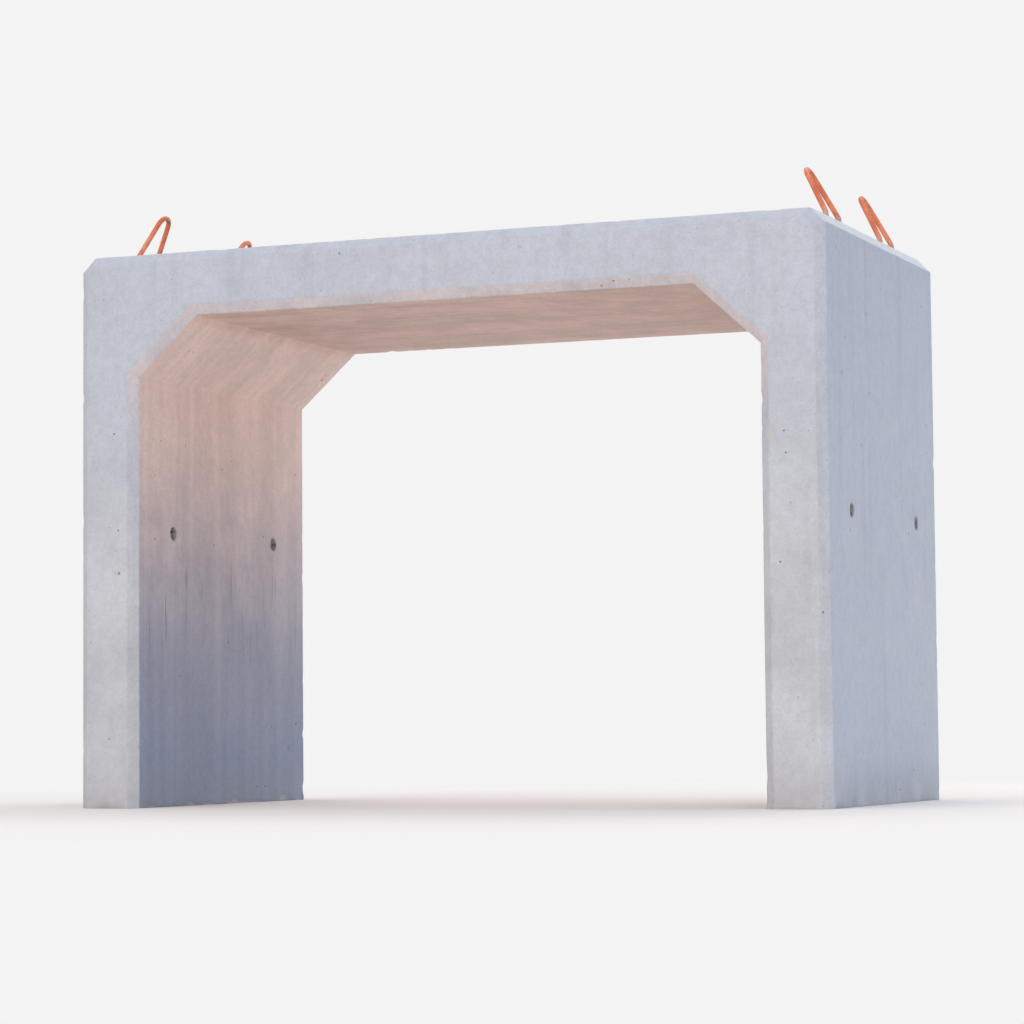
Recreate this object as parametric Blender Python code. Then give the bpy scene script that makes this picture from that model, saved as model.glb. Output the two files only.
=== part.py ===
"""Precast u-shaped culvert: one reinforced concrete casting that stands on its two legs.

The casting is a slab carried by two walls, with a straight haunch in each inner corner.
Its long top edges are chamfered, and so are the arrises round both end faces.
Four bent bars, cast into the slab over the walls, are the lifting loops.
Two sleeved handling holes pass through each wall at mid height.

Metres, +Z up. +X runs across the span and +Y runs along the culvert.
The origin lies on the ground, at the middle of the footprint.
"""

import math

import bmesh
import bpy
from mathutils import Matrix, Vector

# Casting
UNIT_WIDTH = 2.400
UNIT_HEIGHT = 1.700
UNIT_LENGTH = 1.200
WALL_THICKNESS = 0.200
SLAB_THICKNESS = 0.200
HAUNCH_WIDTH = 0.200
HAUNCH_HEIGHT = 0.180
SHOULDER_CHAMFER = 0.045
END_ARRIS = 0.030

# Sleeved handling holes through the walls
HOLE_HEIGHT = 0.850
HOLE_TO_END = 0.250
SLEEVE_DIAMETER = 0.042
SLEEVE_THICKNESS = 0.0025
SLEEVE_INSET = 0.002
SLEEVE_SIDES = 32

# Lifting loops: the radii are those of the bar's centre line
BAR_DIAMETER = 0.016
BAR_SIDES = 16
LOOP_WIDTH = 0.130
LOOP_LENGTH = 0.175
LOOP_EMBEDMENT = 0.120
LOOP_LEAN = math.radians(28.0)
FOOT_RADIUS = 0.048
FOOT_HEIGHT = 0.004
CROWN_RADIUS = 0.032
LOOP_TO_SIDE = 0.065
LOOP_TO_END = 0.315
FOOT_STEPS = 8
CROWN_STEPS = 16

# Clearance between pieces that touch on the real unit
SEAT_GAP = 0.0003

SIDES = {"left": -1.0, "right": 1.0}
ENDS = {"front": -1.0, "back": 1.0}


def clear_scene():
    """Remove whatever the opened file holds."""
    for item in list(bpy.data.objects):
        bpy.data.objects.remove(item, do_unlink=True)


def make_material(name, colour, roughness, metallic=0.0):
    """A plain Principled BSDF material."""
    material = bpy.data.materials.new(name)
    material.use_nodes = True
    shader = material.node_tree.nodes["Principled BSDF"]
    shader.inputs["Base Color"].default_value = (*colour, 1.0)
    shader.inputs["Roughness"].default_value = roughness
    shader.inputs["Metallic"].default_value = metallic
    return material


def add_object(name, bm, material=None, smooth=False):
    """Turn a bmesh into an object, with its faces turned outwards."""
    bmesh.ops.recalc_face_normals(bm, faces=bm.faces)
    mesh = bpy.data.meshes.new(name)
    bm.to_mesh(mesh)
    bm.free()
    if smooth:
        mesh.shade_smooth()
        mesh.set_sharp_from_angle(angle=math.radians(40.0))
    thing = bpy.data.objects.new(name, mesh)
    bpy.context.scene.collection.objects.link(thing)
    if material is not None:
        mesh.materials.append(material)
    return thing


def casting_profile():
    """Corners of the cross-section in the XZ plane: down the right half, then back up the left."""
    half = UNIT_WIDTH / 2.0
    shoulder = UNIT_HEIGHT - SHOULDER_CHAMFER
    soffit = UNIT_HEIGHT - SLAB_THICKNESS
    springing = soffit - HAUNCH_HEIGHT
    inner = half - WALL_THICKNESS
    right = [
        (half - SHOULDER_CHAMFER, UNIT_HEIGHT),
        (half, shoulder),
        (half, 0.0),
        (inner, 0.0),
        (inner, springing),
        (inner - HAUNCH_WIDTH, soffit),
    ]
    left = [(-x, z) for x, z in reversed(right)]
    return right + left


def casting_body():
    """Extrude the cross-section along the culvert and chamfer the arrises of both end faces."""
    bm = bmesh.new()
    corners = [bm.verts.new((x, -UNIT_LENGTH / 2.0, z)) for x, z in casting_profile()]
    end_face = bm.faces.new(corners)
    grown = bmesh.ops.extrude_face_region(bm, geom=[end_face])["geom"]
    moved = [item for item in grown if isinstance(item, bmesh.types.BMVert)]
    bmesh.ops.translate(bm, verts=moved, vec=(0.0, UNIT_LENGTH, 0.0))
    arrises = [edge for edge in bm.edges if is_end_arris(edge)]
    bmesh.ops.bevel(bm, geom=arrises, offset=END_ARRIS, offset_type="OFFSET", segments=1, affect="EDGES")
    return bm


def is_end_arris(edge):
    """An edge in the plane of an end face, other than the ones the feet stand on."""
    first, second = (vertex.co for vertex in edge.verts)
    across = abs(first.y - second.y) < SEAT_GAP
    on_ground = max(first.z, second.z) < SEAT_GAP
    return across and not on_ground


def rod(radius, length, sides, turn, place):
    """A closed prism with its axis along Z, turned and then placed."""
    bm = bmesh.new()
    matrix = Matrix.Translation(place) @ turn
    bmesh.ops.create_cone(
        bm, cap_ends=True, segments=sides, radius1=radius, radius2=radius, depth=length, matrix=matrix
    )
    return bm


def cut(target, name, bm):
    """Take a closed shape out of the target with an exact Boolean."""
    cutter = add_object(name, bm)
    cutter.hide_render = True
    cutter.display_type = "WIRE"
    step = target.modifiers.new(name, "BOOLEAN")
    step.operation = "DIFFERENCE"
    step.solver = "EXACT"
    step.object = cutter


def hole_place(end):
    """Where the handling holes of one end cross the middle plane: Y and Z."""
    return end * (UNIT_LENGTH / 2.0 - HOLE_TO_END), HOLE_HEIGHT


def loop_place(side, end):
    """Middle of a loop's two legs where they leave the slab."""
    x = side * (UNIT_WIDTH / 2.0 - LOOP_TO_SIDE)
    y = end * (UNIT_LENGTH / 2.0 - LOOP_TO_END)
    return Vector((x, y, UNIT_HEIGHT))


def cut_handling_holes(body):
    """One straight cut through both walls for each end, wide enough for the sleeves."""
    radius = SLEEVE_DIAMETER / 2.0 + SEAT_GAP
    lying = Matrix.Rotation(math.pi / 2.0, 4, "Y")
    for end_name, end in ENDS.items():
        y, z = hole_place(end)
        length = UNIT_WIDTH + WALL_THICKNESS
        cut(body, f"cut_holes_{end_name}", rod(radius, length, SLEEVE_SIDES, lying, Vector((0.0, y, z))))


def cut_bar_sockets(body):
    """Two upright sockets in the slab for each loop, one round each leg."""
    radius = BAR_DIAMETER / 2.0 + SEAT_GAP
    depth = LOOP_EMBEDMENT + SEAT_GAP
    above = SLAB_THICKNESS / 2.0
    for side_name, side in SIDES.items():
        for end_name, end in ENDS.items():
            for leg in (-1.0, 1.0):
                place = loop_place(side, end) + Vector((0.0, leg * LOOP_WIDTH / 2.0, (above - depth) / 2.0))
                name = f"cut_socket_{end_name}_{side_name}_{'near' if leg < 0 else 'far'}"
                cut(body, name, rod(radius, depth + above, BAR_SIDES, Matrix.Identity(4), place))


def leg_splay():
    """Angle that a leg leans towards its partner, from the line that touches the foot and crown bends."""
    across = LOOP_WIDTH / 2.0 - FOOT_RADIUS
    rise = LOOP_LENGTH - CROWN_RADIUS - FOOT_HEIGHT
    return math.atan2(across, rise) + math.asin((FOOT_RADIUS - CROWN_RADIUS) / math.hypot(across, rise))


def leg_point(s):
    """A point of the near leg at the height s of the flat hairpin, with the bar's direction there."""
    splay = leg_splay()
    bent = min(max(s - FOOT_HEIGHT, 0.0), FOOT_RADIUS * math.sin(splay))
    angle = math.asin(bent / FOOT_RADIUS)
    straight = max(s - FOOT_HEIGHT, 0.0) - bent
    y = -LOOP_WIDTH / 2.0 + FOOT_RADIUS * (1.0 - math.cos(angle)) + straight * math.tan(splay)
    return y, s, (math.sin(angle), math.cos(angle))


def hairpin_line():
    """Centre line of the flat hairpin: (y, s, direction), with s measured up from the slab."""
    folded = FOOT_RADIUS * LOOP_LEAN
    heights = [-LOOP_EMBEDMENT] + [FOOT_HEIGHT + folded * step / FOOT_STEPS for step in range(FOOT_STEPS + 1)]
    rising = [leg_point(s) for s in heights]
    crown = []
    splay = leg_splay()
    for step in range(CROWN_STEPS + 1):
        angle = splay + (math.pi - 2.0 * splay) * step / CROWN_STEPS
        y = -CROWN_RADIUS * math.cos(angle)
        s = LOOP_LENGTH - CROWN_RADIUS + CROWN_RADIUS * math.sin(angle)
        crown.append((y, s, (math.sin(angle), math.cos(angle))))
    falling = [(-y, s, (across, -rise)) for y, s, (across, rise) in reversed(rising)]
    return rising + crown + falling


def fold(s):
    """Fold the flat hairpin towards the slab's middle: (inwards, up, angle) at the height s."""
    bent = min(max(s - FOOT_HEIGHT, 0.0), FOOT_RADIUS * LOOP_LEAN)
    angle = bent / FOOT_RADIUS
    straight = s - FOOT_HEIGHT - bent
    inwards = FOOT_RADIUS * (1.0 - math.cos(angle)) + straight * math.sin(angle)
    up = FOOT_HEIGHT + FOOT_RADIUS * math.sin(angle) + straight * math.cos(angle)
    return inwards, up, angle


def lifting_loop(name, side, end, material):
    """Sweep a round bar along the folded hairpin: rings square to its line, bridged in turn."""
    bm = bmesh.new()
    foot = loop_place(side, end)
    towards_middle = Vector((-side, 0.0, 0.0))
    upwards = Vector((0.0, 0.0, 1.0))
    along = Vector((0.0, 1.0, 0.0))
    rings = []
    for y, s, (along_part, up_part) in hairpin_line():
        inwards, up, angle = fold(s)
        centre = foot + towards_middle * inwards + along * y + upwards * up
        rise = towards_middle * math.sin(angle) + upwards * math.cos(angle)
        tangent = along * along_part + rise * up_part
        facing = towards_middle * math.cos(angle) - upwards * math.sin(angle)
        across = tangent.cross(facing)
        ring = []
        for corner in range(BAR_SIDES):
            turn = 2.0 * math.pi * corner / BAR_SIDES
            spoke = facing * math.cos(turn) + across * math.sin(turn)
            ring.append(bm.verts.new(centre + spoke * BAR_DIAMETER / 2.0))
        rings.append(ring)
    for first, second in zip(rings, rings[1:]):
        for corner in range(BAR_SIDES):
            following = (corner + 1) % BAR_SIDES
            bm.faces.new((first[corner], first[following], second[following], second[corner]))
    bm.faces.new(rings[0])
    bm.faces.new(rings[-1])
    return add_object(name, bm, material, smooth=True)


def wall_sleeve(name, side, end, material):
    """A short tube in its hole, its ends set a little below the concrete."""
    outer = SLEEVE_DIAMETER / 2.0
    inner = outer - SLEEVE_THICKNESS
    half = WALL_THICKNESS / 2.0 - SLEEVE_INSET
    corners = [(-half, inner), (half, inner), (half, outer), (-half, outer)]
    bm = bmesh.new()
    profile = [bm.verts.new((x, 0.0, radius)) for x, radius in corners]
    edges = [bm.edges.new((profile[i], profile[(i + 1) % 4])) for i in range(4)]
    bmesh.ops.spin(
        bm,
        geom=profile + edges,
        cent=(0.0, 0.0, 0.0),
        axis=(1.0, 0.0, 0.0),
        angle=2.0 * math.pi,
        steps=SLEEVE_SIDES,
        use_merge=True,
    )
    bmesh.ops.remove_doubles(bm, verts=bm.verts, dist=SEAT_GAP / 10.0)
    sleeve = add_object(name, bm, material, smooth=True)
    y, z = hole_place(end)
    sleeve.location = (side * (UNIT_WIDTH - WALL_THICKNESS) / 2.0, y, z)
    return sleeve


def build():
    """Make the casting, its sleeves and its loops."""
    clear_scene()
    concrete = make_material("concrete", (0.56, 0.55, 0.53), 0.88)
    body = add_object("culvert_body", casting_body(), concrete)
    cut_handling_holes(body)
    cut_bar_sockets(body)
    for side_name, side in SIDES.items():
        for end_name, end in ENDS.items():
            paint = make_material(f"painted_bar_{end_name}_{side_name}", (0.72, 0.17, 0.04), 0.5)
            lifting_loop(f"lifting_loop_{end_name}_{side_name}", side, end, paint)
            plastic = make_material(f"sleeve_{end_name}_{side_name}", (0.16, 0.17, 0.18), 0.5)
            wall_sleeve(f"wall_sleeve_{end_name}_{side_name}", side, end, plastic)


build()
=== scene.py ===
# %% [markdown]
# # A precast u-shaped culvert
#
# The real object is one concrete casting: a slab on two walls, with a straight haunch in each inner corner.
# Steel loops for the crane are cast into the slab, and plastic sleeves for handling pins into the walls.
# This lesson starts from the plain CAD model and works out the surfaces that a camera would see: the form's
# slightly uneven faces, nibbled arrises, air holes, painted bars and cement-stained sleeves.

# %% Load the frame
import math

import bpy
import numpy as np
from mathutils import Matrix, Vector


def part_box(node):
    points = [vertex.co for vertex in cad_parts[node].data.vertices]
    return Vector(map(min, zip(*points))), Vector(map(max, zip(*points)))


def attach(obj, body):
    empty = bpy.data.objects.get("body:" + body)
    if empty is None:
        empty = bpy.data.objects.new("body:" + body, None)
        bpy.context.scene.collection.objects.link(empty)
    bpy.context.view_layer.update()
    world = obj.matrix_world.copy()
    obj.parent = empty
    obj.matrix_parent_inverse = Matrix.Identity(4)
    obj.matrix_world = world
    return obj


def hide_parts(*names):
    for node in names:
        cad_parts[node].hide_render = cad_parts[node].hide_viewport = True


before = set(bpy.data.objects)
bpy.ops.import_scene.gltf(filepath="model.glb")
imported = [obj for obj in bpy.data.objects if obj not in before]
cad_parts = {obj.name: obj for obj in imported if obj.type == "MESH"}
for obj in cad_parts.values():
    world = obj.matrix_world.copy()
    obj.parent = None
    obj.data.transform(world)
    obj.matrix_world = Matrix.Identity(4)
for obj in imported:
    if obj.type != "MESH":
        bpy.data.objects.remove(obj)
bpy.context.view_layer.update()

# %% [markdown]
# ## The sizes that everything hangs on
#
# The drawing's own sizes come first. They could be read off each solid, but most are plain numbers that a
# precaster would quote, so they are written once here and used by name in every step that follows.

# %% Sizes of the unit, in metres
WIDTH, HEIGHT, LENGTH = 2.400, 1.700, 1.200
WALL = 0.200
HAUNCH_WIDTH, HAUNCH_HEIGHT = 0.200, 0.180
SHOULDER = 0.045
ARRIS = 0.030
HOLE_Y, HOLE_Z, SLEEVE_RADIUS, SLEEVE_WALL = 0.350, 0.850, 0.021, 0.0025
BAR_RADIUS, LEG_SPREAD, LEG_X = 0.008, 0.065, 1.135
LOOP_Y = 0.285
CLEARANCE = 0.0003

body_low, body_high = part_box("culvert_body")
print("the casting's solid measures", [round(b - a, 4) for a, b in zip(body_low, body_high)])

# %% [markdown]
# ## Randomness that is the same every time
#
# Concrete is irregular, but the script has to give the same casting on every run. Values are drawn on a cubic
# lattice from a seeded generator, and blended between the eight nearest lattice points. It takes and gives whole
# arrays, so that it can be asked for all the points of a surface at once.

# %% Smooth lattice noise
LATTICE = 32


def lattice_noise(points, pitch, seed):
    """From 0 to 1: random values at the corners of cubes of this pitch, with smooth blending inside each cube. The
    values repeat after as many cubes as the lattice has."""
    table = np.random.default_rng(seed).random((LATTICE, LATTICE, LATTICE))
    scaled = np.asarray(points) / pitch
    corner = np.floor(scaled).astype(int)
    share = scaled - corner
    share = share * share * (3.0 - 2.0 * share)
    total = np.zeros(scaled.shape[:-1])
    for step in np.ndindex(2, 2, 2):
        step = np.array(step)
        weight = np.prod(np.where(step == 1, share, 1.0 - share), axis=-1)
        at = (corner + step) % LATTICE
        total += weight * table[at[..., 0], at[..., 1], at[..., 2]]
    return total


def rise(value, low, high):
    """0 below low, 1 above high, and a smooth S between them."""
    share = np.clip((value - low) / (high - low), 0.0, 1.0)
    return share * share * (3.0 - 2.0 * share)


def unit(vectors):
    """The vectors, each at a length of 1."""
    return vectors / np.linalg.norm(vectors, axis=-1, keepdims=True)


print("noise at the origin:", round(float(lattice_noise(np.zeros(3), 1.0, 1)), 3))

# %% [markdown]
# ## The casting as one surface of two parameters
#
# The casting could be made by carving a block, but its faces would then share no order. Seen another way, it is a
# bar of rectangular section, bent into an inverted U. One parameter runs up the left wall, over the slab and down
# the right wall. The other runs round the section: outer face, back arris, back end, inner arris, inner face,
# and home by the front. Every point follows from four lines that run along the U: the outer face, the inner
# face, and those two set in by the width of the arris.

# %% Lines that run along the U
STRAIGHT_ON = 0.9999


def graded(cells, fine_start, fine_end, finest=0.25, growth=1.45):
    """Shares from 0 to 1 in this many steps. A step starts at the finest share of a full step at a fine end, and
    grows by a fixed factor until it is full."""
    number = np.arange(cells)
    steps = np.ones(cells)
    if fine_start:
        steps = np.minimum(steps, finest * growth**number)
    if fine_end:
        steps = np.minimum(steps, finest * growth ** number[::-1])
    return np.concatenate([[0.0], np.cumsum(steps)]) / steps.sum()


def set_in(line, depth):
    """A line set in by a depth: each corner moves along the sum of its two neighbours' normals, over one plus
    their product, which is where the two set-in pieces meet. Points between corners keep their share of the way,
    and a point is no corner where its two normals have a product of about 1."""
    along = np.diff(line, axis=0)
    travel = np.concatenate([[0.0], np.cumsum(np.linalg.norm(along, axis=1))])
    normals = unit(np.stack([along[:, 1], -along[:, 0]], axis=1))
    before = np.vstack([normals[:1], normals])
    after = np.vstack([normals, normals[-1:]])
    product = (before * after).sum(axis=1)
    turns = product < STRAIGHT_ON
    turns[[0, -1]] = True
    moved = line + depth * (before + after) / (1.0 + product)[:, None]
    return np.column_stack([np.interp(travel, travel[turns], moved[turns, axis]) for axis in (0, 1)])


half, half_length = WIDTH / 2.0, LENGTH / 2.0
half_face = half_length - ARRIS
bore = half - WALL
soffit = HEIGHT - WALL
springing = soffit - HAUNCH_HEIGHT
hole_block = 0.030
leg_block = 0.015


def on_haunch(share):
    """A point of the left haunch, from its foot at 0 to its top at 1."""
    return (-bore + HAUNCH_WIDTH * share, springing + HAUNCH_HEIGHT * share)


# outer point, inner point, cells up to the next station, and whether those are fine at the start and at the end
STATIONS = [
    ((-half, 0.0), (-bore, 0.0), 74, True, False),
    ((-half, HOLE_Z - hole_block), (-bore, HOLE_Z - hole_block), 4, False, False),
    ((-half, HOLE_Z + hole_block), (-bore, HOLE_Z + hole_block), 30, False, False),
    ((-half, 1.20), (-bore, 1.18), 28, False, True),
    ((-half, 1.50), (-bore, springing), 16, True, True),
    ((-half, HEIGHT - SHOULDER), on_haunch(0.25), 8, True, True),
    ((-half + SHOULDER, HEIGHT), on_haunch(0.44), 1, False, False),
    ((-LEG_X - leg_block, HEIGHT), on_haunch(0.47), 2, False, False),
    ((-LEG_X + leg_block, HEIGHT), on_haunch(0.60), 12, False, True),
    ((-1.0, HEIGHT), (-bore + HAUNCH_WIDTH, soffit), 26, True, False),
    ((-0.7, HEIGHT), (-0.62, soffit), 66, False, False),
    ((0.0, HEIGHT), (0.0, soffit), 0, False, False),
]


def u_lines():
    """Outer and inner line, each also set in by the arris, as (4, stations, 2) arrays of x and z."""
    outer = np.array([row[0] for row in STATIONS])
    inner = np.array([row[1] for row in STATIONS])
    keys = np.stack([outer, set_in(outer, ARRIS), set_in(inner, -ARRIS), inner])
    pieces = []
    for number, (_, _, cells, fine_start, fine_end) in enumerate(STATIONS[:-1]):
        share = graded(cells, fine_start, fine_end)[:-1, None]
        first, last = keys[:, None, number], keys[:, None, number + 1]
        pieces.append(first + (last - first) * share)
    left = np.concatenate(pieces + [keys[:, None, -1]], axis=1)
    right = left[:, -2::-1] * np.array([-1.0, 1.0])
    return np.concatenate([left, right], axis=1)


lines = u_lines()
print("stations along the U:", lines.shape[1])

# %% [markdown]
# Round the section, eight corners carry the two end faces, the two long faces and the four arrises. The lines
# between them stand close together near an arris, where concrete chips, and far apart in the middle of a face,
# where it is flat. A few lines are placed to frame the sleeves' holes and the loops' legs.


# %% Lines that run round the section
def face_shares():
    """Lines across a long face, from its front edge to its back edge, as shares of its width."""
    marks = [half_face, HOLE_Y + hole_block, HOLE_Y - hole_block]
    marks += [LOOP_Y - LEG_SPREAD + leg_block, LOOP_Y - LEG_SPREAD - leg_block, 0.0]
    cells = [9, 4, 3, 2, 6]
    positive = [half_face]
    for number, count in enumerate(cells):
        first, last = marks[number], marks[number + 1]
        share = graded(count, number == 0, False, finest=0.065, growth=1.62)[1:]
        positive += list(first + (last - first) * share)
    positive = np.array(positive)
    across = np.concatenate([-positive, positive[-2::-1]])
    return (across + half_face) / (2.0 * half_face)


# shares of the outer line, of that set in, of the inner line set in and of the inner line, and the place along Y
section_corners = np.array(
    [
        (1, 0, 0, 0, -half_face),
        (1, 0, 0, 0, half_face),
        (0, 1, 0, 0, half_length),
        (0, 0, 1, 0, half_length),
        (0, 0, 0, 1, half_face),
        (0, 0, 0, 1, -half_face),
        (0, 0, 1, 0, -half_length),
        (0, 1, 0, 0, -half_length),
    ]
)
long_face = face_shares()
arris_face = graded(6, True, True, finest=0.2, growth=2.2)
end_face = graded(10, True, True, finest=0.09, growth=1.8)
rows, arris_rows = [], []
for number, share in enumerate([long_face, arris_face, end_face, arris_face] * 2):
    first, last = section_corners[number], section_corners[(number + 1) % 8]
    arris_rows.append(sum(len(row) for row in rows))
    rows.append(first + (last - first) * share[:-1, None])
rows = np.concatenate(rows)


def casting_grid():
    """Points of the casting: each is a blend of the four lines along the U, at the row's place along Y."""
    flat = np.einsum("tk,ksx->stx", rows[:, :4], lines)
    points = np.empty((lines.shape[1], len(rows), 3))
    points[..., 0] = flat[..., 0]
    points[..., 1] = rows[:, 4]
    points[..., 2] = flat[..., 1]
    return points


def outward(points):
    """Outward direction at each grid point: the step along the U crossed with the step round the section."""
    along = np.gradient(points, axis=0)
    around = np.roll(points, -1, axis=1) - np.roll(points, 1, axis=1)
    return unit(np.cross(along, around))


plain = casting_grid()
normals = outward(plain)
print("grid of", plain.shape[0], "by", plain.shape[1], "points, arris rows at", arris_rows)

# %% [markdown]
# ## Unevenness and worn arrises
#
# Steel forms leave flat faces that still wander by about a millimetre, and their arrises lose small flakes when
# the form is struck and when the unit is set down. Both are inward moves of the grid, so that the casting never
# grows. A flake cuts a corner: its depth falls off in a straight line with the distance from the arris, which
# leaves a small flat facet, and noise makes it come and go along the edge.

# %% Wear of the grid
# in metres; the slopes are depth over width, and liveliness is a factor for each of the eight arrises
SWELL, RIPPLE = 0.0009, 0.0004
ROUNDING, NIBBLE, LARGE_FLAKE = 0.0016, 0.0090, 0.0170
FLAKE_SLOPE, FOOT_SLOPE = 0.40, 0.45
LIVELINESS = (0.7, 0.7, 0.8, 1.0, 1.0, 1.0, 1.1, 0.9)


def face_wander(points):
    """Inward wander of the formed faces: broad swells and smaller ripples, from 0 to about 1.3 mm."""
    return lattice_noise(points, 0.42, 11) * SWELL + lattice_noise(points, 0.085, 12) * RIPPLE


def flake_width(points, seed, liveliness):
    """How far flakes reach from an arris: a thin rounding everywhere, nibbles in patches, and rare large ones."""
    nibble = rise(lattice_noise(points, 0.022, seed), 0.52, 0.95)
    patch = rise(lattice_noise(points, 0.16, seed + 1), 0.35, 0.75)
    large = rise(lattice_noise(points, 0.055, seed + 2), 0.80, 0.97)
    return ROUNDING + liveliness * (NIBBLE * nibble * patch + LARGE_FLAKE * large)


def skin_lost(depth):
    """How fully a flake of this depth has lost the smooth skin that the form left."""
    return rise(depth, 0.0009, 0.0030)


def edge_gaps(points):
    """Distance from each point to each of the eight edges, the shorter way round, as (8, stations, rows)."""
    step = np.linalg.norm(np.roll(points, -1, axis=1) - points, axis=-1)
    around = np.cumsum(step, axis=1) - step
    gap = np.abs(around - around[:, arris_rows].T[:, :, None])
    return np.minimum(gap, step.sum(axis=1, keepdims=True) - gap)


def arris_flakes(points, directions):
    """Inward move near the eight lengthwise arrises, as vectors, with the share of wear at each point."""
    gaps = edge_gaps(points)
    moved = np.zeros_like(points)
    worn = np.zeros(points.shape[:2])
    for number, row in enumerate(arris_rows):
        width = flake_width(points[:, row], 20 + 3 * number, LIVELINESS[number])[:, None]
        depth = FLAKE_SLOPE * np.maximum(width - gaps[number], 0.0)
        moved -= depth[..., None] * directions[:, row : row + 1]
        worn = np.maximum(worn, skin_lost(depth))
    return moved, worn


def foot_flakes(points, directions):
    """Inward move of the faces just above the ground, where the unit has been set down, but not at the arrises."""
    width = 0.002 + 0.020 * rise(lattice_noise(points, 0.06, 61), 0.45, 0.95)
    from_arris = edge_gaps(points).min(axis=0)
    depth = FOOT_SLOPE * np.maximum(width - points[..., 2], 0.0) * rise(from_arris, 0.002, ARRIS)
    return -depth[..., None] * directions, rise(depth, 0.0012, 0.0040)


def shoulder_flakes(points, directions):
    """Inward move at the two edges of each shoulder chamfer, along the whole unit."""
    moved = np.zeros_like(points)
    worn = np.zeros(points.shape[:2])
    outer_rows = np.arange(arris_rows[1] + 1)
    for number, station in enumerate(shoulder_stations):
        edge = points[station, outer_rows]
        width = 0.0015 + 0.006 * rise(lattice_noise(edge, 0.03, 70 + number), 0.5, 0.95)
        gap = np.linalg.norm(points[:, outer_rows] - edge, axis=-1)
        depth = FLAKE_SLOPE * np.maximum(width - gap, 0.0)
        moved[:, outer_rows] -= depth[..., None] * directions[station, outer_rows]
        worn[:, outer_rows] = np.maximum(worn[:, outer_rows], skin_lost(depth))
    return moved, worn


counts = np.cumsum([0] + [row[2] for row in STATIONS[:-1]])
last_station = lines.shape[1] - 1
shoulder_stations = [counts[5], counts[6], last_station - counts[6], last_station - counts[5]]
worn_points = plain - face_wander(plain)[..., None] * normals
wear = np.zeros(plain.shape[:2])
for flakes in (arris_flakes, foot_flakes, shoulder_flakes):
    shift, share = flakes(plain, normals)
    worn_points += shift * (1.0 - wear)[..., None]
    wear = np.maximum(wear, share)
worn_points[[0, -1], :, 2] = 0.0
print("deepest flake:", round(1000.0 * float(np.linalg.norm(worn_points - plain, axis=-1).max()), 1), "mm")

# %% [markdown]
# ## Patches: air holes, sleeve holes and bar sockets
#
# Air trapped against a form leaves round pits of a few millimetres. They could be painted on, but a real hollow
# catches the light, so each one takes the place of one grid cell: rings of points step down into a bowl, and the
# outermost ring is stitched to the cell's corners. The same stitch serves the holes through the walls and the
# sockets round the bars, which take the place of small square blocks of cells.

# %% A shell that patches are added to
SHARP_ANGLE = math.radians(62.0)


class Shell:
    """Points, faces and a colour for each point, gathered piece by piece."""

    def __init__(self):
        self.points, self.tones, self.quads, self.tris, self.others = [], [], [], [], []
        self.count = 0

    def add_points(self, points, tone):
        """Add points of any array shape, with one tone for all or for each; gives their numbers in that shape."""
        flat = points.reshape(-1, 3)
        self.points.append(flat)
        self.tones.append(np.broadcast_to(tone, points.shape[:-1] + (3,)).reshape(-1, 3))
        numbers = np.arange(self.count, self.count + len(flat)).reshape(points.shape[:-1])
        self.count += len(flat)
        return numbers

    def add_ring_faces(self, outer, inner):
        """Quads between two rings of the same count, each an array of (patches, count)."""
        quads = [outer, np.roll(outer, -1, axis=1), np.roll(inner, -1, axis=1), inner]
        self.quads.append(np.stack(quads, axis=-1).reshape(-1, 4))

    def stitch(self, coarse, fine):
        """Triangles between a coarse ring and a fine one that has a whole number of points for each coarse one."""
        sides = fine.shape[1] // coarse.shape[1]
        middle = (sides + 1) // 2
        following = np.roll(coarse, -1, axis=1)
        picks = [np.roll(fine, -step, axis=1)[:, ::sides] for step in range(sides + 1)]
        faces = [(coarse, following, picks[middle])]
        faces += [(following, picks[step + 1], picks[step]) for step in range(middle, sides)]
        faces += [(coarse, picks[step + 1], picks[step]) for step in range(middle)]
        for face in faces:
            self.tris.append(np.stack(face, axis=-1).reshape(-1, 3))

    def add_fan(self, ring, centre):
        """Triangles from a ring to the point in its middle."""
        middle = np.broadcast_to(centre[:, None], ring.shape)
        self.tris.append(np.stack([ring, np.roll(ring, -1, axis=1), middle], axis=-1).reshape(-1, 3))

    def make(self, name):
        """One smooth mesh object, with the tones as a colour attribute. Points that no face uses are left out."""
        points, tones = np.concatenate(self.points), np.concatenate(self.tones)
        groups = self.quads + self.tris + [np.array([face]) for face in self.others]
        used = np.unique(np.concatenate([part.ravel() for part in groups]))
        renumbered = np.cumsum(np.isin(np.arange(len(points)), used)) - 1
        faces = [face for part in groups for face in renumbered[part].tolist()]
        points, tones = points[used], tones[used]
        mesh = bpy.data.meshes.new(name)
        mesh.from_pydata(points, [], faces)
        colour = mesh.color_attributes.new("tone", "FLOAT_COLOR", "POINT")
        colour.data.foreach_set("color", np.column_stack([tones, np.ones(len(tones))]).astype(np.float32).ravel())
        mesh.shade_smooth()
        mesh.set_sharp_from_angle(angle=SHARP_ANGLE)
        thing = bpy.data.objects.new(name, mesh)
        bpy.context.scene.collection.objects.link(thing)
        return thing


OUTSIDE, END, INSIDE = 0.0, 0.5, 1.0
zone_at_corners = [OUTSIDE, OUTSIDE, END, END, INSIDE, INSIDE, END, END, OUTSIDE]
zone = np.interp(np.arange(len(rows)), arris_rows + [len(rows)], zone_at_corners)
shell = Shell()
grid_tones = np.stack([np.broadcast_to(zone, wear.shape), wear, np.zeros_like(wear)], axis=-1)
grid = shell.add_points(worn_points, grid_tones)
taken = np.zeros((grid.shape[0] - 1, grid.shape[1]), bool)
print("grid points:", shell.count)

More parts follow.
